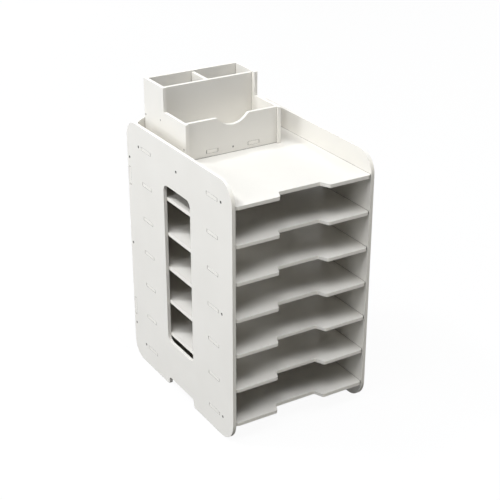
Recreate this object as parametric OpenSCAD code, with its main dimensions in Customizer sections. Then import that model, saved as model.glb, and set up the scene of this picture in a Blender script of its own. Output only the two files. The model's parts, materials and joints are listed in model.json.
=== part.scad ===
/* [Side panels] */
// Width over both side panels
sorter_w = 245; // [225:1:290]
// Depth of the side panels, front edge to rear edge
sorter_d = 330; // [310:1:360]
// Height of the side panels above the desk
sorter_h = 427; // [400:1:470]
// Thickness of every board
board_t = 5.5; // [4.5:0.1:6.5]
// Radius of a side panel's top front corner
front_top_r = 35; // [15:1:45]
// Radius of a side panel's top rear corner
rear_top_r = 28; // [15:1:40]
// Radius of a side panel's bottom rear corner
rear_bottom_r = 28; // [8:1:40]
// Radius of a side panel's bottom front corner
front_bottom_r = 35; // [15:1:45]

/* [Side windows] */
// Width of the window in each side panel
window_w = 84; // [60:1:100]
// Height of the window
window_h = 276; // [200:1:285]
// Height of the window's lower edge above the desk
window_lift = 82.5; // [65:0.5:90]
// Radius of the window's corners
window_r = 11; // [4:1:20]

/* [Foot arch] */
// Width of the arch between the front and rear feet
arch_w = 83; // [50:1:110]
// Height of the arch
arch_h = 14; // [11:0.5:18]
// Radius of the arch's two upper corners
arch_r = 6; // [2:0.5:7]
// Radius that rounds the feet at the arch's ends
arch_foot_r = 4; // [1:0.5:4]

/* [Shelves] */
// Height of the side panels' tops above the deck
cheek_h = 32.5; // [20:0.5:45]
// Clear height under the lowest shelf
foot_clear = 31.5; // [22:0.1:40]
// Width of the hand recess in a front edge, at its deep end
recess_w = 72; // [50:1:100]
// Width that the recess gains at each end toward the front
recess_flare = 7; // [4:0.5:14]
// Depth of the hand recess
recess_d = 16; // [8:1:25]
// Radius that rounds the recess's corners
recess_r = 4.5; // [2:0.5:6]
// Radius of a shelf's front corners
shelf_corner_r = 6; // [3:0.5:10]

/* [Tabs and slots] */
// Length of each routed slot, end to end
slot_len = 32.5; // [22:0.5:40]
// Distance from the front edge to the middle of the front slots
front_slot_in = 57; // [50:1:70]
// Distance from the rear edge to the middle of the rear slots
rear_slot_in = 66; // [55:1:80]
// Radius of a slot's corners
slot_corner_r = 1.2; // [0.5:0.1:1.2]
// Play along a tab's long faces in its slot
slot_play = 0.3; // [0.05:0.05:0.4]
// Gap at each end of a tab in its slot
tab_end_gap = 1.2; // [1:0.1:1.6]

/* [Back panel] */
// Distance from the rear edge to the middle of the back panel
back_in = 7.2; // [5:0.1:15]
// Radius of the back panel's top corners
back_r = 28; // [10:1:40]
// Height of its tabs' middles above the middles of their slots
back_tab_rise = 0.4; // [0:0.1:1]

/* [Screws] */
// Diameter of a screw's countersunk head
head_d = 4.4; // [3.6:0.1:5]
// Diameter of a screw's shank
shank_d = 2.2; // [1.6:0.1:2.6]
// Length of a screw, with its head
screw_len = 18; // [12:1:24]
// Distance from the front edge to the front screws
front_screw_in = 31.5; // [20:0.5:34]
// Distance from the rear edge to the rear screws
rear_screw_in = 40.5; // [30:0.5:44]
// Distance from the back panel's tabs to its outer screws
back_screw_step = 32; // [22:0.5:36]

/* [Pen box] */
// Width of the pen box
caddy_w = 169.5; // [140:0.5:185]
// Depth of the pen box
caddy_d = 136; // [115:1:160]
// Depth of its tall rear part
tall_d = 65.5; // [50:0.5:75]
// Height of its tall rear part
caddy_h = 98; // [75:1:120]
// Height of its low front part
low_h = 59.5; // [45:0.5:70]
// Distance that it stands left of the middle
caddy_shift = 9.5; // [0:0.5:15]
// Gap between its side plates and the back panel
caddy_gap = 0.5; // [0.3:0.1:5]
// Set-in of its front plate from the side plates' front edges
front_inset = 4; // [1:0.5:8]
// Set-in of its rear plate from the side plates' rear edges
back_inset = 1; // [0.5:0.5:6]
// Set-in of its middle wall from the side plates' step
wall_inset = 8.8; // [2:0.1:12]
// Height of its front and rear plates above the deck
plate_lift = 0.6; // [0.2:0.1:0.9]
// Depth of the middle wall's and divider's tops below the side plates' tops
wall_drop = 2.5; // [0:0.5:5]
// Clear height under its floor plate
floor_lift = 6; // [3:0.5:9]
// Radius of the thumb notch in its front plate
thumb_r = 33; // [25:1:40]
// Depth of the thumb notch
thumb_depth = 14.4; // [8:0.2:20]
// Radius that rounds the thumb notch's two ends
thumb_end_r = 6; // [2:0.5:8]
// Length of each slot in its plates, end to end
caddy_slot_len = 21.3; // [16:0.1:26]
// Distance from its middle to each of its floor plate's tabs
caddy_slot_out = 37; // [25:0.5:50]
// Height of its front side screws above the deck
front_screw_h = 19; // [14:0.5:24]
// Height of its middle side screws above the deck
wall_screw_h = 43.5; // [30:0.5:55]
// Height of its rear side screws above the deck
back_screw_h = 38.5; // [28:0.5:55]
// Diameter of its screws' heads
small_head_d = 3; // [2.4:0.1:3.6]
// Diameter of its screws' shanks
small_shank_d = 1.6; // [1.2:0.1:2]
// Length of its screws, with their heads
small_screw_len = 14; // [10:1:18]

/* [Hidden] */
$fn = 96;

// Colours of the coated boards and of the screws
board_colour = "#E9E8E3";
screw_colour = "#6F6E6B";

// Length by which every cut runs past the face it opens
overrun = 1;
// Clearance round a screw in its hole
screw_play = 0.1;
// Depth of a screw head's top below the board's face
head_sink = 0.3;
// Length and end diameter of a screw's point
point_len = 3;
point_d = 0.4;
// Length, width and depth of the cross cut in a screw's head, as shares of the head's diameter
drive_shares = [0.55, 0.14, 0.2];

inner_w = sorter_w - 2 * board_t;
front_y = -sorter_d / 2;
rear_y = sorter_d / 2;

// Levels are counted from the deck, which is level 0, down to the lowest shelf
lowest = 6;
middle = lowest / 2;
deck_top_z = sorter_h - cheek_h;
deck_mid_z = deck_top_z - board_t / 2;
pitch = (deck_mid_z - foot_clear - board_t / 2) / lowest;
function level_z(level) = deck_mid_z - level * pitch;

// The back panel stands between the side panels, on the line of its tabs
back_mid_y = rear_y - back_in;
back_front_y = back_mid_y - board_t / 2;
upper_tab_z = level_z(1);
lower_tab_z = level_z(lowest - 1);

slot_h = board_t + 2 * slot_play;
tab_len = slot_len - 2 * tab_end_gap;
back_tab_len = tab_len - 2 * back_tab_rise;
slot_ys = [front_y + front_slot_in, rear_y - rear_slot_in];

// Screws enter three boards through the side panels, and the back panel's edges
front_screw_y = front_y + front_screw_in;
rear_screw_y = rear_y - rear_screw_in;
function shelf_screw_ys(level) =
    level == 0 ? [front_screw_y, 0, rear_screw_y] :
    level == middle ? [front_screw_y] :
    level == lowest ? [front_screw_y, rear_screw_y] : [];
back_screw_zs = [upper_tab_z + back_screw_step, level_z(middle), lower_tab_z - back_screw_step];

// The pen box stands on the deck, against the back panel
caddy_front_y = back_front_y - caddy_gap - caddy_d;

// Its cross plates stand between its side plates, and its floor plate between front and rear
plate_w = caddy_w - 2 * board_t;
step_y = caddy_d - tall_d;
wall_y = step_y + wall_inset;
back_plate_y = caddy_d - back_inset - board_t;
floor_mid_z = floor_lift + board_t / 2;
floor_top_z = floor_lift + board_t;
wall_h = caddy_h - wall_drop - floor_top_z;
caddy_tab_len = caddy_slot_len - 2 * tab_end_gap;
divider_len = back_plate_y - wall_y - board_t;
divider_tab_y = wall_y + board_t + divider_len / 2;
divider_tab_z = floor_top_z + wall_h / 2;

// A screw's head diameter, shank diameter and length
panel_screw = [head_d, shank_d, screw_len];
small_screw = [small_head_d, small_shank_d, small_screw_len];
function head_h(size) = (size[0] - size[1]) / 2;

function unit(v) = v / norm(v);
function turns_left(a, b, c) = cross(b - a, c - b) > 0;

// The arc that rounds corner b between a and c: its centre and its two ends
function corner_arc(a, b, c, r) =
    let (u = unit(a - b), v = unit(c - b), half = acos(u * v) / 2)
    [b + unit(u + v) * (r / sin(half)), b + u * (r / tan(half)), b + v * (r / tan(half))];

// An outline drawn anticlockwise, with a true arc of radii[i] at each corner
module rounded_outline(pts, radii) {
    n = len(pts);
    rounded = [for (i = [0 : n - 1]) if (radii[i] > 0) i];
    arcs = [for (i = [0 : n - 1]) corner_arc(pts[(i + n - 1) % n], pts[i], pts[(i + 1) % n], radii[i])];
    outward = [for (i = [0 : n - 1]) turns_left(pts[(i + n - 1) % n], pts[i], pts[(i + 1) % n])];
    difference() {
        polygon([for (i = [0 : n - 1]) each (radii[i] > 0 ? [arcs[i][1], arcs[i][2]] : [pts[i]])]);
        for (i = rounded) if (!outward[i]) translate(arcs[i][0]) circle(radii[i]);
    }
    for (i = rounded) if (outward[i]) translate(arcs[i][0]) circle(radii[i]);
}

// A slot as a small router bit leaves it, with rounded corners
module slot_outline(length) {
    x = length / 2;
    y = slot_h / 2;
    rounded_outline([[-x, -y], [x, -y], [x, y], [-x, y]],
        [slot_corner_r, slot_corner_r, slot_corner_r, slot_corner_r]);
}

// Turns a flat outline so that it stands along the depth, its thickness toward +X
module stand_along_depth() {
    rotate([90, 0, 90]) linear_extrude(board_t) children();
}

// Turns a flat outline so that it faces the front, its thickness toward the rear
module face_front() {
    translate([0, board_t, 0]) rotate([90, 0, 0]) linear_extrude(board_t) children();
}

// A countersunk screw, its head's face just under z = 0 and its point downward
module screw(size) {
    shank_top = -head_sink - head_h(size);
    drive = size[0] * drive_shares;
    difference() {
        union() {
            translate([0, 0, shank_top]) cylinder(h = head_h(size), d1 = size[1], d2 = size[0]);
            translate([0, 0, point_len - size[2]])
                cylinder(h = shank_top + size[2] - point_len, d = size[1]);
            translate([0, 0, -size[2]]) cylinder(h = point_len, d1 = point_d, d2 = size[1]);
        }
        translate([0, 0, -head_sink])
            for (turn = [0, 90]) rotate(turn) cube([drive[0], drive[1], 2 * drive[2]], center = true);
    }
}

// The hole that a screw needs, opened past the board's face
module screw_hole(size) {
    hole_d = size[1] + 2 * screw_play;
    seat_d = size[0] + 2 * screw_play;
    translate([0, 0, -size[2] - screw_play]) cylinder(h = size[2], d = hole_d);
    translate([0, 0, -head_sink - head_h(size)]) cylinder(h = head_h(size), d1 = hole_d, d2 = seat_d);
    translate([0, 0, -head_sink]) cylinder(h = head_sink + overrun, d = seat_d);
}

// Places children on the outer face of the left (-1) or right (1) side panel
module on_side(side, y, z) {
    translate([side * sorter_w / 2, y, z]) rotate([0, side * 90, 0]) children();
}

module at_shelf_screws(side, level) {
    for (y = shelf_screw_ys(level)) on_side(side, y, level_z(level)) children();
}

module at_back_screws(side) {
    for (z = back_screw_zs) on_side(side, back_mid_y, z) children();
}

module side_outline() {
    arch_end = arch_w / 2;
    rounded_outline(
        [[front_y, 0], [-arch_end, 0], [-arch_end, arch_h], [arch_end, arch_h], [arch_end, 0],
         [rear_y, 0], [rear_y, sorter_h], [front_y, sorter_h]],
        [front_bottom_r, arch_foot_r, arch_r, arch_r, arch_foot_r, rear_bottom_r, rear_top_r, front_top_r]);
}

module window_outline() {
    half_w = window_w / 2;
    top = window_lift + window_h;
    rounded_outline(
        [[-half_w, window_lift], [half_w, window_lift], [half_w, top], [-half_w, top]],
        [window_r, window_r, window_r, window_r]);
}

module side_panel() {
    difference() {
        translate([-sorter_w / 2, 0, 0]) stand_along_depth() difference() {
            side_outline();
            window_outline();
            for (level = [0 : lowest], y = slot_ys) translate([y, level_z(level)]) slot_outline(slot_len);
            for (z = [upper_tab_z, lower_tab_z])
                translate([back_mid_y, z]) rotate(90) slot_outline(slot_len);
        }
        for (level = [0 : lowest]) at_shelf_screws(-1, level) screw_hole(panel_screw);
        at_back_screws(-1) screw_hole(panel_screw);
    }
}

module side_panel_left() {
    color(board_colour) side_panel();
}

module side_panel_right() {
    color(board_colour) mirror([1, 0, 0]) side_panel();
}

module back_panel() {
    color(board_colour) difference() {
        translate([0, back_front_y, 0]) face_front() {
            rounded_outline(
                [[-inner_w / 2, arch_h], [inner_w / 2, arch_h],
                 [inner_w / 2, sorter_h], [-inner_w / 2, sorter_h]],
                [0, 0, back_r, back_r]);
            for (side = [-1, 1], z = [upper_tab_z, lower_tab_z])
                translate([side * inner_w / 2, z + back_tab_rise])
                    square([2 * board_t, back_tab_len], center = true);
        }
        for (side = [-1, 1]) at_back_screws(side) screw_hole(panel_screw);
    }
}

// One level board: hand recess in front, two tabs through each side panel
module level_board(level) {
    deep = front_y + recess_d;
    recess_half = recess_w / 2;
    mouth_half = recess_half + recess_flare;
    color(board_colour) difference() {
        translate([0, 0, level_z(level) - board_t / 2]) linear_extrude(board_t) {
            rounded_outline(
                [[-inner_w / 2, front_y], [-mouth_half, front_y], [-recess_half, deep],
                 [recess_half, deep], [mouth_half, front_y], [inner_w / 2, front_y],
                 [inner_w / 2, back_front_y], [-inner_w / 2, back_front_y]],
                [shelf_corner_r, recess_r, recess_r, recess_r, recess_r, shelf_corner_r, 0, 0]);
            for (side = [-1, 1], y = slot_ys)
                translate([side * inner_w / 2, y]) square([2 * board_t, tab_len], center = true);
        }
        for (side = [-1, 1]) at_shelf_screws(side, level) screw_hole(panel_screw);
    }
}

module top_deck() { level_board(0); }
module shelf_2() { level_board(1); }
module shelf_3() { level_board(2); }
module shelf_4() { level_board(3); }
module shelf_5() { level_board(4); }
module shelf_6() { level_board(5); }
module shelf_7() { level_board(6); }

module shelf_screws_left() {
    color(screw_colour) for (level = [0 : lowest]) at_shelf_screws(-1, level) screw(panel_screw);
}

module shelf_screws_right() {
    color(screw_colour) for (level = [0 : lowest]) at_shelf_screws(1, level) screw(panel_screw);
}

module back_panel_screws() {
    color(screw_colour) for (side = [-1, 1]) at_back_screws(side) screw(panel_screw);
}

// Moves children from the pen box's own place to where it stands on the deck
module in_caddy() {
    translate([-caddy_shift, caddy_front_y, deck_top_z]) children();
}

module at_caddy_side_screws(side) {
    for (place = [[front_inset, front_screw_h], [wall_y, wall_screw_h], [back_plate_y, back_screw_h]])
        translate([side * caddy_w / 2, place[0] + board_t / 2, place[1]])
            rotate([0, side * 90, 0]) children();
}

module at_front_floor_screw() {
    translate([0, front_inset, floor_mid_z]) rotate([90, 0, 0]) children();
}

module at_back_floor_screw() {
    translate([0, back_plate_y + board_t, floor_mid_z]) rotate([-90, 0, 0]) children();
}

module caddy_side(side) {
    color(board_colour) in_caddy() difference() {
        translate([side * (caddy_w - board_t) / 2 - board_t / 2, 0, 0]) stand_along_depth()
            polygon([[0, 0], [caddy_d, 0], [caddy_d, caddy_h],
                     [step_y, caddy_h], [step_y, low_h], [0, low_h]]);
        at_caddy_side_screws(side) screw_hole(small_screw);
    }
}

module caddy_left_side() { caddy_side(-1); }
module caddy_right_side() { caddy_side(1); }

// The front plate's outline: a round thumb notch whose two ends are rounded over
module front_plate_outline() {
    half_w = plate_w / 2;
    notch_z = low_h + thumb_r - thumb_depth;
    end_z = low_h - thumb_end_r;
    end_x = sqrt(pow(thumb_r + thumb_end_r, 2) - pow(notch_z - end_z, 2));
    along = thumb_r / (thumb_r + thumb_end_r);
    meet = [end_x * along, notch_z + (end_z - notch_z) * along];
    difference() {
        polygon([[-half_w, plate_lift], [half_w, plate_lift], [half_w, low_h], [end_x, low_h], meet,
                 [-meet[0], meet[1]], [-end_x, low_h], [-half_w, low_h]]);
        translate([0, notch_z]) circle(thumb_r);
    }
    for (side = [-1, 1]) translate([side * end_x, end_z]) circle(thumb_end_r);
}

module floor_slots() {
    for (side = [-1, 1]) translate([side * caddy_slot_out, floor_mid_z]) slot_outline(caddy_slot_len);
}

module caddy_front() {
    color(board_colour) in_caddy() difference() {
        translate([0, front_inset, 0]) face_front() difference() {
            front_plate_outline();
            floor_slots();
        }
        for (side = [-1, 1]) at_caddy_side_screws(side) screw_hole(small_screw);
        at_front_floor_screw() screw_hole(small_screw);
    }
}

module caddy_middle_wall() {
    color(board_colour) in_caddy() difference() {
        translate([0, wall_y, 0]) face_front() {
            translate([-plate_w / 2, floor_top_z]) square([plate_w, wall_h]);
            for (side = [-1, 1])
                translate([side * caddy_slot_out, floor_top_z])
                    square([caddy_tab_len, 2 * board_t], center = true);
        }
        for (side = [-1, 1]) at_caddy_side_screws(side) screw_hole(small_screw);
    }
}

module caddy_back() {
    color(board_colour) in_caddy() difference() {
        translate([0, back_plate_y, 0]) face_front() difference() {
            translate([-plate_w / 2, plate_lift]) square([plate_w, caddy_h - plate_lift]);
            floor_slots();
            translate([0, divider_tab_z]) rotate(90) slot_outline(caddy_slot_len);
        }
        for (side = [-1, 1]) at_caddy_side_screws(side) screw_hole(small_screw);
        at_back_floor_screw() screw_hole(small_screw);
    }
}

module caddy_floor() {
    start_y = front_inset + board_t;
    color(board_colour) in_caddy() difference() {
        translate([0, 0, floor_lift]) linear_extrude(board_t) difference() {
            union() {
                translate([-plate_w / 2, start_y]) square([plate_w, back_plate_y - start_y]);
                for (side = [-1, 1], y = [start_y, back_plate_y])
                    translate([side * caddy_slot_out, y])
                        square([caddy_tab_len, 2 * board_t], center = true);
            }
            for (side = [-1, 1])
                translate([side * caddy_slot_out, wall_y + board_t / 2]) slot_outline(caddy_slot_len);
            translate([0, divider_tab_y]) rotate(90) slot_outline(caddy_slot_len);
        }
        at_front_floor_screw() screw_hole(small_screw);
        at_back_floor_screw() screw_hole(small_screw);
    }
}

module caddy_divider() {
    color(board_colour) in_caddy() translate([-board_t / 2, 0, 0]) stand_along_depth() {
        translate([wall_y + board_t, floor_top_z]) square([divider_len, wall_h]);
        translate([divider_tab_y, floor_top_z]) square([caddy_tab_len, 2 * board_t], center = true);
        translate([back_plate_y, divider_tab_z]) square([2 * board_t, caddy_tab_len], center = true);
    }
}

module caddy_side_screws() {
    color(screw_colour) in_caddy() for (side = [-1, 1]) at_caddy_side_screws(side) screw(small_screw);
}

module caddy_floor_screws() {
    color(screw_colour) in_caddy() {
        at_front_floor_screw() screw(small_screw);
        at_back_floor_screw() screw(small_screw);
    }
}

side_panel_left();
side_panel_right();
back_panel();
top_deck();
shelf_2();
shelf_3();
shelf_4();
shelf_5();
shelf_6();
shelf_7();
shelf_screws_left();
shelf_screws_right();
back_panel_screws();
caddy_left_side();
caddy_right_side();
caddy_front();
caddy_middle_wall();
caddy_back();
caddy_floor();
caddy_divider();
caddy_side_screws();
caddy_floor_screws();
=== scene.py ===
# %% [markdown]
# # An envelope sorter and its pen box
#
# The real object is a desk sorter cut from white foamed board. Two side panels with windows
# carry seven level boards and a back panel, all held by tabs and small countersunk screws. A
# stepped pen box stands loose on top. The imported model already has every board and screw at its
# real size, so this lesson adds what makes them look real: eased edges, a finish for the boards,
# a finish for the screws, light and a camera. Everything is in metres: X to the right, Y to the
# rear, Z up.

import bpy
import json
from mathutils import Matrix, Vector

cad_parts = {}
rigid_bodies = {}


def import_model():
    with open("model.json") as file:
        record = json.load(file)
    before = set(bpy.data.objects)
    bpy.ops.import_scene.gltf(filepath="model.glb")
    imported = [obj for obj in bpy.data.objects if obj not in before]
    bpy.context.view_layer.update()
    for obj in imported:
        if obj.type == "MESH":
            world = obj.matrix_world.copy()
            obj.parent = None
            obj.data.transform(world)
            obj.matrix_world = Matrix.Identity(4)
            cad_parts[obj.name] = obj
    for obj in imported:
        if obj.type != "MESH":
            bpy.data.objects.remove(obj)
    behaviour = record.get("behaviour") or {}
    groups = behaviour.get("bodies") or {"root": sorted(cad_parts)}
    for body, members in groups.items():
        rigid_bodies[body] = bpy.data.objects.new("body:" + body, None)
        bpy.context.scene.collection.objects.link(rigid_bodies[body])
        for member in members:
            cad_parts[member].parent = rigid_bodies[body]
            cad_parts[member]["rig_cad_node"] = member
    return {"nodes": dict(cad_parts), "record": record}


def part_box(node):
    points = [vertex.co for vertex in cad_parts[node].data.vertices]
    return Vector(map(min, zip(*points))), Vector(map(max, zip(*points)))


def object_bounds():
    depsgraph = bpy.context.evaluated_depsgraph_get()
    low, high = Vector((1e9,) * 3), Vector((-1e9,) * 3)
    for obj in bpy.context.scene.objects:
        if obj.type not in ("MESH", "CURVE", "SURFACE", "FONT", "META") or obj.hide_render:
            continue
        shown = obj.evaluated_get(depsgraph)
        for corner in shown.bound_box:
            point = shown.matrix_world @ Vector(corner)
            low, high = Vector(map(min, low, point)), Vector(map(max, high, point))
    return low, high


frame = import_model()
cad_low, cad_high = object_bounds()
print("pieces of the sorter:", len(frame["nodes"]))
print("size in metres:", [round(side, 4) for side in cad_high - cad_low])

# %% [markdown]
# Each board and each group of screws is one node of the model. The record says which finish each
# node takes, so the boards and the screws can be told apart without writing their names down
# again. A list made this way stays right when the model gains or loses a shelf.

# %% Sort the nodes by finish
finish_of = {part["node"]: part["material_slot"] for part in frame["record"]["subparts"]}


def nodes_with(finish):
    """The objects of all nodes that take one finish, in the order of their names."""
    return [frame["nodes"][name] for name in sorted(finish_of) if finish_of[name] == finish]


boards = nodes_with("coated_board")
screws = nodes_with("screw_steel")
print("boards:", len(boards), "screw groups:", len(screws))

# %% [markdown]
# A router leaves a sharp edge, and a light pass with fine paper takes it off. That narrow round
# is what catches the light on a real board. The edge could be drawn as a curve with its own
# bevel depth, but the model's boards already have every slot and hole, so modifiers do it on the
# spot. Weld joins the seams that the imported mesh has along its sharp edges, and a planar
# Decimate takes away the thin triangles on each flat face, which would spoil the rounding. Bevel
# then rounds every edge that turns by more than a set angle, and Weighted Normal keeps the wide
# faces flat in the light.

# %% Ease the edges of the boards
import math

EASED_RADIUS = 0.0003
EASED_STEPS = 3
SEAM_GAP = 0.00001
FLAT_TURN = math.radians(0.5)
SHARP_TURN = math.radians(35)


def ease_edges(board):
    """Rounds the sharp edges of one board and leaves its flat faces flat."""
    weld = board.modifiers.new("weld_seams", "WELD")
    weld.merge_threshold = SEAM_GAP
    merge = board.modifiers.new("whole_faces", "DECIMATE")
    merge.decimate_type = "DISSOLVE"
    merge.angle_limit = FLAT_TURN
    ease = board.modifiers.new("eased_edges", "BEVEL")
    ease.width = EASED_RADIUS
    ease.segments = EASED_STEPS
    ease.limit_method = "ANGLE"
    ease.angle_limit = SHARP_TURN
    ease.use_clamp_overlap = True
    flat = board.modifiers.new("flat_faces", "WEIGHTED_NORMAL")
    flat.keep_sharp = False


for board in boards:
    ease_edges(board)
print("eased", len(boards), "boards by", EASED_RADIUS * 1000, "mm")

# %% [markdown]
# A finish is a small net of shader nodes. Such nets are easier to read when a few lines of
# Python place and join the nodes. The first helper starts a material, and the second adds one
# node, sets its values and joins its sockets. The recipes further down are then lists of steps.

# %% Start a material and add nodes
import bpy


def new_material(name):
    """A material with one Principled shader: the material, its node tree and the shader."""
    material = bpy.data.materials.new(name)
    material.use_nodes = True
    tree = material.node_tree
    return material, tree, tree.nodes["Principled BSDF"]


def add_node(tree, kind, inputs=None, **settings):
    """One node. Each input is a number or colour, or another node's output socket."""
    made = tree.nodes.new(kind)
    for name, value in settings.items():
        setattr(made, name, value)
    for name, value in (inputs or {}).items():
        if isinstance(value, bpy.types.NodeSocket):
            tree.links.new(value, made.inputs[name])
        else:
            made.inputs[name].default_value = value
    return made


def math_node(tree, operation, first, second=0.0):
    return add_node(tree, "ShaderNodeMath", {0: first, 1: second}, operation=operation).outputs[0]


# %% [markdown]
# Most steps of a recipe mix two things by a share, or turn a pattern's values into others. A Mix
# node keeps separate sockets for numbers and for colours, so its sockets are picked by their
# place here. Map Range stretches one span of values to another and clamps what lies outside.
# Noise values crowd round one half, so a recipe that takes only their middle span gets a pattern
# with more contrast.

# %% Mix, spread, noise and height
NOISE_MIDDLE = (0.35, 0.65)
NOISE_MOST = (0.3, 0.7)


def blend_numbers(tree, share, first, second):
    made = add_node(
        tree, "ShaderNodeMix", {"Factor": share, 2: first, 3: second}, data_type="FLOAT"
    )
    return made.outputs[0]


def blend_colours(tree, share, first, second):
    made = add_node(
        tree, "ShaderNodeMix", {"Factor": share, 6: first, 7: second}, data_type="RGBA"
    )
    return made.outputs[2]


def spread(tree, value, span, new_span=(0.0, 1.0)):
    """Maps value from one span to another, and clamps it there."""
    names = ("From Min", "From Max", "To Min", "To Max")
    inputs = {"Value": value, **dict(zip(names, (*span, *new_span)))}
    return add_node(tree, "ShaderNodeMapRange", inputs).outputs["Result"]


def noise(tree, place, size, detail):
    """A cloudy pattern from 0 to 1. The size of its patches is in the place's own unit."""
    inputs = {"Vector": place, "Scale": 1 / size, "Detail": detail}
    return add_node(tree, "ShaderNodeTexNoise", inputs).outputs["Fac"]


def raise_surface(tree, shader, height):
    """Makes light fall on the surface as if it stood out by a height in metres."""
    inputs = {"Height": height, "Distance": 1.0, "Strength": 1.0}
    bump = add_node(tree, "ShaderNodeBump", inputs)
    tree.links.new(bump.outputs["Normal"], shader.inputs["Normal"])


# %% [markdown]
# The board is a foamed plastic sheet. Its two wide faces have a smooth white skin with a faint
# grain, and its cut edges show the foam: paler and duller, with fine router lines that run along
# the edge. One material can hold both, if it knows which way a board lies. The thin side of a
# board's box gives that direction, and there is one material for each direction.

# %% Find how each board lies
def thin_axis(board):
    """Index of the axis along which a board is thinnest."""
    low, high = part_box(board["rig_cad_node"])
    size = high - low
    return min(range(3), key=lambda axis: size[axis])


boards_by_axis = {
    axis: [board for board in boards if thin_axis(board) == axis] for axis in range(3)
}
for axis, found in boards_by_axis.items():
    print("thin along", "XYZ"[axis], ":", len(found))

# %% [markdown]
# The surface normal tells skin from cut edge: on the skin it points along the thin direction, on
# an edge across it. The dot product of the two says how well they agree. A painted mask could do
# the same, but this one needs no unwrapping and holds for every slot and window. The front edges
# look the palest because of the way light falls on them, so a paler white is painted on them as
# painted light, with a mask of their own. The object's Y coordinate picks out a shallow band at
# the front, and only faces that look along the depth count there.

# %% Tell skin, cut edge and front edge apart
DEPTH_AXIS = 1
FACES_ALONG = (0.6, 0.85)
FRONT_BAND = 0.02
FRONT_BAND_FADE = 0.001


def faces_along(tree, normal, axis):
    """1 where the surface looks along an axis, either way, and 0 where it looks across it."""
    direction = [float(other == axis) for other in range(3)]
    agreement = add_node(
        tree, "ShaderNodeVectorMath", {0: normal, 1: direction}, operation="DOT_PRODUCT"
    ).outputs["Value"]
    return spread(tree, math_node(tree, "ABSOLUTE", agreement), FACES_ALONG)


def front_light_mask(tree, place):
    """1 on the edges that look to the front or rear, within a shallow band at the front, where a
    paler white is painted as painted light.
    """
    band_end = cad_low.y + FRONT_BAND
    depth = add_node(tree, "ShaderNodeSeparateXYZ", {0: place.outputs["Object"]}).outputs["Y"]
    near_front = spread(tree, depth, (band_end - FRONT_BAND_FADE, band_end), (1.0, 0.0))
    looks_along = faces_along(tree, place.outputs["Normal"], DEPTH_AXIS)
    return math_node(tree, "MULTIPLY", looks_along, near_front)


print("front band ends at Y", round(cad_low.y + FRONT_BAND, 3))

# %% [markdown]
# The patterns of a board. A soft, large noise is the slight shift in tone that real sheets have.
# A fine one a little over a millimetre wide is the grain of the skin, and a third is the uneven
# gloss that handling leaves. On the cut edges a noise that is squeezed across the sheet becomes
# lines: one unit of the squeezed place is one line across and a long stretch along the edge.
# Small round cells become the pores of the foam. Each board's own random number shifts its
# patterns, so no two boards look the same.

# %% The patterns of a board
CLOUD = {"size": 0.09, "detail": 2.0}
GRAIN = {"size": 0.0014, "detail": 1.0}
SMUDGE = {"size": 0.035, "detail": 4.0}
LINES = {"size": 1.0, "detail": 1.0}
LINE_PITCH = 0.00035
LINE_LENGTH = 0.02
LINE_SHARE = (0.4, 1.0)
PORE_SIZE = 0.0008
PORE_EDGE = 0.35


def own_place_of(tree, place):
    """The place on the board, shifted by the board's own random number."""
    shift = add_node(tree, "ShaderNodeObjectInfo").outputs["Random"]
    return add_node(
        tree, "ShaderNodeVectorMath", {0: place.outputs["Object"], 1: shift}, operation="ADD"
    ).outputs[0]


def foam_pattern(tree, place, axis):
    """Router lines and pores for the cut edges of boards that are thin along one axis."""
    squeeze = [1 / LINE_PITCH if other == axis else 1 / LINE_LENGTH for other in range(3)]
    lined_place = add_node(
        tree, "ShaderNodeVectorMath", {0: place, 1: squeeze}, operation="MULTIPLY"
    ).outputs[0]
    lines = noise(tree, lined_place, **LINES)
    cells = add_node(tree, "ShaderNodeTexVoronoi", {"Vector": place, "Scale": 1 / PORE_SIZE})
    pores = spread(tree, cells.outputs["Distance"], (0.0, PORE_EDGE))
    return math_node(tree, "MULTIPLY", spread(tree, lines, NOISE_MOST, LINE_SHARE), pores)


print("grain", GRAIN["size"] * 1000, "mm, router lines", LINE_PITCH * 1000, "mm apart")

# %% [markdown]
# The shades of a board. Each kind of face moves between two shades that lie close together: the
# skin with the soft noise, the edges with the foam. The front edges take a paler white, which is
# painted light for the light that falls on them. Last, an Ambient Occlusion node that reaches
# only a millimetre and a half paints shade into the colour of the hairline gaps round the tabs.
# It sees the real geometry, so the painted shade lines follow every slot without being drawn.

# %% The shades of a board
SKIN_WHITE = (0.765, 0.74, 0.685, 1.0)
SKIN_WHITE_DEEP = (0.745, 0.72, 0.665, 1.0)
CUT_WHITE = (0.83, 0.802, 0.742, 1.0)
CUT_WHITE_DEEP = (0.75, 0.722, 0.662, 1.0)
# Painted light: the front edges get a paler white that stands in for the light falling on them.
FRONT_PAINTED_LIGHT = (0.98, 0.935, 0.83, 1.0)
FRONT_PAINTED_LIGHT_DEEP = (0.92, 0.875, 0.775, 1.0)
# Painted shade: a dark colour painted into the hairline gaps round the tabs.
SEAM_PAINTED_SHADE = (0.16, 0.15, 0.135, 1.0)
SEAM_REACH = 0.0015
SEAM_SAMPLES = 8
SEAM_SPAN = (0.3, 0.85)


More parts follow.
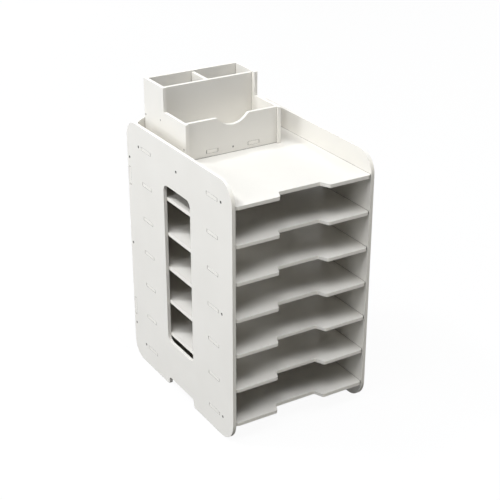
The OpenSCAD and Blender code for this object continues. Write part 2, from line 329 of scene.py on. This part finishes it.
def board_colour(tree, skin, front, cloud, foam):
    skin_share = spread(tree, cloud, NOISE_MIDDLE)
    skin_colour = blend_colours(tree, skin_share, SKIN_WHITE_DEEP, SKIN_WHITE)
    sawn_colour = blend_colours(tree, foam, CUT_WHITE_DEEP, CUT_WHITE)
    # Painted light: the paler white painted on the front edges.
    painted_front_light_colour = blend_colours(tree, foam, FRONT_PAINTED_LIGHT_DEEP, FRONT_PAINTED_LIGHT)
    cut_colour_and_front_light = blend_colours(tree, front, sawn_colour, painted_front_light_colour)
    unshaded_colour = blend_colours(tree, skin, cut_colour_and_front_light, skin_colour)
    # Painted shade: Ambient Occlusion darkens the colour in the hairline gaps round the tabs.
    painted_seam_shade = add_node(
        tree, "ShaderNodeAmbientOcclusion", {"Distance": SEAM_REACH}, samples=SEAM_SAMPLES
    ).outputs["AO"]
    return blend_colours(tree, spread(tree, painted_seam_shade, SEAM_SPAN), SEAM_PAINTED_SHADE, unshaded_colour)


print("skin", SKIN_WHITE[:3], "cut edge", CUT_WHITE[:3], "front edge", FRONT_PAINTED_LIGHT[:3])

# %% [markdown]
# The recipe as a whole. Satin skin mirrors the light a little and a cut edge scatters it, so the
# same mask that picks the colour also picks the roughness and the height of the bumps. The
# heights are only hundredths of a millimetre, which is enough to break the shine without looking
# rough.

# %% Give every board its finish
SKIN_ROUGHNESS = (0.40, 0.52)
CUT_ROUGHNESS = 0.78
GRAIN_HEIGHT = 0.000012
CUT_HEIGHT = 0.00006
BOARD_IOR = 1.46


def board_material(axis):
    """The finish of boards that are thin along one axis."""
    material, tree, shader = new_material("white_board_" + "xyz"[axis])
    place = add_node(tree, "ShaderNodeTexCoord")
    skin = faces_along(tree, place.outputs["Normal"], axis)
    # Mask for the painted light on the front edges.
    front = front_light_mask(tree, place)
    own_place = own_place_of(tree, place)
    foam = foam_pattern(tree, own_place, axis)

    cloud = noise(tree, own_place, **CLOUD)
    colour = board_colour(tree, skin, front, cloud, foam)
    tree.links.new(colour, shader.inputs["Base Color"])

    smudge = noise(tree, own_place, **SMUDGE)
    gloss = spread(tree, smudge, NOISE_MOST, SKIN_ROUGHNESS)
    roughness = blend_numbers(tree, skin, CUT_ROUGHNESS, gloss)
    tree.links.new(roughness, shader.inputs["Roughness"])

    grain = noise(tree, own_place, **GRAIN)
    cut_height = math_node(tree, "MULTIPLY", foam, CUT_HEIGHT)
    skin_height = math_node(tree, "MULTIPLY", grain, GRAIN_HEIGHT)
    raise_surface(tree, shader, blend_numbers(tree, skin, cut_height, skin_height))
    shader.inputs["IOR"].default_value = BOARD_IOR
    return material


for axis, found in boards_by_axis.items():
    white = board_material(axis)
    for board in found:
        board.data.materials.clear()
        board.data.materials.append(white)
    print(white.name, "on", len(found), "boards,", len(white.node_tree.nodes), "nodes")

# %% [markdown]
# The screws have a countersunk head and a cross cut. Those in the sorter are blackened steel,
# and those in the pen box are brighter, so one recipe takes two pairs of shades. Turned steel
# has fine rings. Rings need the distance from each screw's own axis, and all screws of one group
# share one mesh, so a fine noise stands in for them here.

# %% Give every screw its finish
STEEL_FINISHES = {
    "black_screw": ((0.10, 0.098, 0.095, 1.0), (0.05, 0.049, 0.047, 1.0)),
    "bright_screw": ((0.32, 0.31, 0.30, 1.0), (0.22, 0.213, 0.205, 1.0)),
}
STEEL_GRAIN = {"size": 0.0005, "detail": 3.0}
STEEL_GRAIN_HEIGHT = 0.00001
STEEL_ROUGHNESS = (0.32, 0.48)


def screw_material(name, light, dark):
    material, tree, shader = new_material(name)
    place = add_node(tree, "ShaderNodeTexCoord").outputs["Object"]
    speck = noise(tree, place, **STEEL_GRAIN)
    colour = blend_colours(tree, spread(tree, speck, NOISE_MIDDLE), dark, light)
    tree.links.new(colour, shader.inputs["Base Color"])
    roughness = spread(tree, speck, NOISE_MOST, STEEL_ROUGHNESS)
    tree.links.new(roughness, shader.inputs["Roughness"])
    raise_surface(tree, shader, math_node(tree, "MULTIPLY", speck, STEEL_GRAIN_HEIGHT))
    shader.inputs["Metallic"].default_value = 1.0
    return material


steels = {name: screw_material(name, *shades) for name, shades in STEEL_FINISHES.items()}
for screw in screws:
    in_pen_box = screw["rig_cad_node"].startswith("caddy")
    steel = steels["bright_screw" if in_pen_box else "black_screw"]
    screw.data.materials.clear()
    screw.data.materials.append(steel)

# %% [markdown]
# The photographer's floor and backdrop are white paper. A white floor that is lit like the
# sorter would throw a lot of light up under the boards, and the picture shows dark undersides.
# Light Path tells which kind of ray meets a surface, so the floor can look white to the camera
# and in reflections, and still be a dark grey sheet for the light that bounces. A share of real
# matte white keeps the sorter's soft shadow.

# %% The floor
WHITE = (1.0, 1.0, 1.0, 1.0)
FLOOR_SIDE = 60.0
FLOOR_WHITE = (0.87, 0.87, 0.87, 1.0)
FLOOR_BOUNCE = (0.12, 0.12, 0.12, 1.0)
FLOOR_GLOW = 0.95
FLOOR_ROUGHNESS = 0.9


def looked_at(tree):
    """1 for rays from the camera and for reflections, 0 for the light that bounces."""
    path = add_node(tree, "ShaderNodeLightPath").outputs
    mirrored = math_node(tree, "MAXIMUM", path["Is Glossy Ray"], path["Is Transmission Ray"])
    return math_node(tree, "MAXIMUM", path["Is Camera Ray"], mirrored)


def blend_shaders(tree, share, first, second):
    made = add_node(tree, "ShaderNodeMixShader", {0: share, 1: first, 2: second})
    return made.outputs[0]


def floor_material():
    material, tree, shader = new_material("floor_white")
    shader.inputs["Base Color"].default_value = FLOOR_BOUNCE
    shader.inputs["Roughness"].default_value = FLOOR_ROUGHNESS
    glow = add_node(tree, "ShaderNodeEmission", {"Color": WHITE, "Strength": 1.0})
    matte = add_node(tree, "ShaderNodeBsdfDiffuse", {"Color": FLOOR_WHITE})
    seen = blend_shaders(tree, FLOOR_GLOW, matte.outputs[0], glow.outputs[0])
    both = blend_shaders(tree, looked_at(tree), shader.outputs[0], seen)
    tree.links.new(both, tree.nodes["Material Output"].inputs["Surface"])
    return material


def pale_floor():
    mesh = bpy.data.meshes.new("floor")
    reach = FLOOR_SIDE / 2
    corners = [(-reach, -reach, 0), (reach, -reach, 0), (reach, reach, 0), (-reach, reach, 0)]
    mesh.from_pydata(corners, [], [(0, 1, 2, 3)])
    mesh.materials.append(floor_material())
    floor = bpy.data.objects.new("floor", mesh)
    bpy.context.scene.collection.objects.link(floor)
    print("floor", FLOOR_SIDE, "m wide, bounces", FLOOR_BOUNCE[0], "of its light")


pale_floor()

# %% [markdown]
# The world is the backdrop behind the floor's far edge, and it works the same way: white to look
# at, and only a weak light. The lamps alone then decide where the sorter is bright or dark.

# %% The world
WORLD_LIGHT = 0.02


def white_world():
    world = bpy.data.worlds.new("studio")
    bpy.context.scene.world = world
    world.use_nodes = True
    tree = world.node_tree
    weak = tree.nodes["Background"]
    weak.inputs["Color"].default_value = WHITE
    weak.inputs["Strength"].default_value = WORLD_LIGHT
    seen = add_node(tree, "ShaderNodeBackground", {"Color": WHITE, "Strength": 1.0})
    both = blend_shaders(tree, looked_at(tree), weak.outputs[0], seen.outputs[0])
    tree.links.new(both, tree.nodes["World Output"].inputs["Surface"])
    print("world lights at", WORLD_LIGHT)


white_world()

# %% [markdown]
# A lamp or a camera is easiest to place by the way it looks from the sorter: an azimuth round it
# and an elevation above the desk. An area lamp shines along its own minus Z, and a camera looks
# along the same axis, so both are turned until their Z points away from the sorter.

# %% Aim a lamp from the sorter's middle
from mathutils import Vector

LAMP_DISTANCE = 3.6
LAMP_COLOUR = (0.975, 1.0, 1.04)
MIDDLE = (cad_low + cad_high) / 2


def direction_to(azimuth, elevation):
    """Unit vector from the sorter: azimuth 0 is in front of it, 90 to its right, in degrees."""
    turn, rise = math.radians(azimuth), math.radians(elevation)
    level = math.cos(rise)
    return Vector((math.sin(turn) * level, -math.cos(turn) * level, math.sin(rise)))


def soft_lamp(name, azimuth, elevation, side, power):
    light = bpy.data.lights.new(name, "AREA")
    light.shape = "SQUARE"
    light.size = side
    light.energy = power
    light.color = LAMP_COLOUR
    lamp = bpy.data.objects.new(name, light)
    bpy.context.scene.collection.objects.link(lamp)
    away = direction_to(azimuth, elevation)
    lamp.location = MIDDLE + away * LAMP_DISTANCE
    lamp.rotation_euler = away.to_track_quat("Z", "Y").to_euler()


print("lamps aim at", [round(value, 3) for value in MIDDLE])

# %% [markdown]
# Product photos of white goods are lit by large soft boxes. The light and shade in the picture
# say where they stood: the deck and the front edges are the brightest, the left panel comes
# next, and the bays go dark within a hand's depth, so most light comes from above and from the
# left. Low lamps at the left, the right and the rear give the upright faces their even tone. A
# narrower lamp behind the left shoulder throws the bright wedges that lie on the shelves inside
# the window. The powers are low enough that white boards hardly clip.

# %% The lamps
LAMPS = {
    "overhead_left": {"azimuth": -100, "elevation": 65, "side": 1.2, "power": 34.0},
    "left_key": {"azimuth": -75, "elevation": 30, "side": 1.2, "power": 28.0},
    "left_low": {"azimuth": -85, "elevation": 10, "side": 1.2, "power": 23.0},
    "left_rear_low": {"azimuth": -140, "elevation": 10, "side": 1.2, "power": 33.0},
    "window_beam": {"azimuth": -121, "elevation": 56, "side": 0.4, "power": 44.0},
    "overhead_front": {"azimuth": -45, "elevation": 60, "side": 1.2, "power": 42.0},
    "front_low": {"azimuth": -15, "elevation": 15, "side": 1.2, "power": 3.0},
    "front_right": {"azimuth": 20, "elevation": 60, "side": 1.2, "power": 13.0},
    "right_fill": {"azimuth": 60, "elevation": 52, "side": 1.2, "power": 37.0},
    "right_low": {"azimuth": 110, "elevation": 12, "side": 1.2, "power": 20.0},
    "rear_fill": {"azimuth": 175, "elevation": 15, "side": 1.2, "power": 30.0},
}

for name, place in LAMPS.items():
    soft_lamp(name, **place)
print("lamps:", len(LAMPS), "power:", sum(place["power"] for place in LAMPS.values()), "W")

# %% [markdown]
# The camera stands where the photographer stood: a little above the sorter and to its left, with
# a long lens. These numbers come from fitting the sorter's corners to the picture. The picture
# is shown with Blender's Standard view, which keeps each colour as it was mixed.

# %% The camera
from mathutils import Quaternion

CAMERA_AZIMUTH = -31.409
CAMERA_ELEVATION = 25.543
CAMERA_DISTANCE = 1.8913
CAMERA_ROLL = math.radians(0.0864)
CAMERA_TARGET = Vector((0.0055, -0.0033, 0.2327))
LENS_MM = 85.235
SENSOR_MM = 36.0


def add_camera():
    data = bpy.data.cameras.new("camera")
    data.lens = LENS_MM
    data.sensor_width = SENSOR_MM
    camera = bpy.data.objects.new("camera", data)
    bpy.context.scene.collection.objects.link(camera)
    away = direction_to(CAMERA_AZIMUTH, CAMERA_ELEVATION)
    camera.location = CAMERA_TARGET + away * CAMERA_DISTANCE
    camera.rotation_mode = "QUATERNION"
    roll = Quaternion((0, 0, 1), CAMERA_ROLL)
    camera.rotation_quaternion = away.to_track_quat("Z", "Y") @ roll
    return camera


bpy.context.scene.camera = add_camera()
bpy.context.scene.view_settings.view_transform = "Standard"
print("camera at", [round(value, 3) for value in bpy.context.scene.camera.location])

# %% [markdown]
# The looks must not change the sorter's size. Eased edges only take material away, so the size
# stays as it was.

# %% Finish
import json
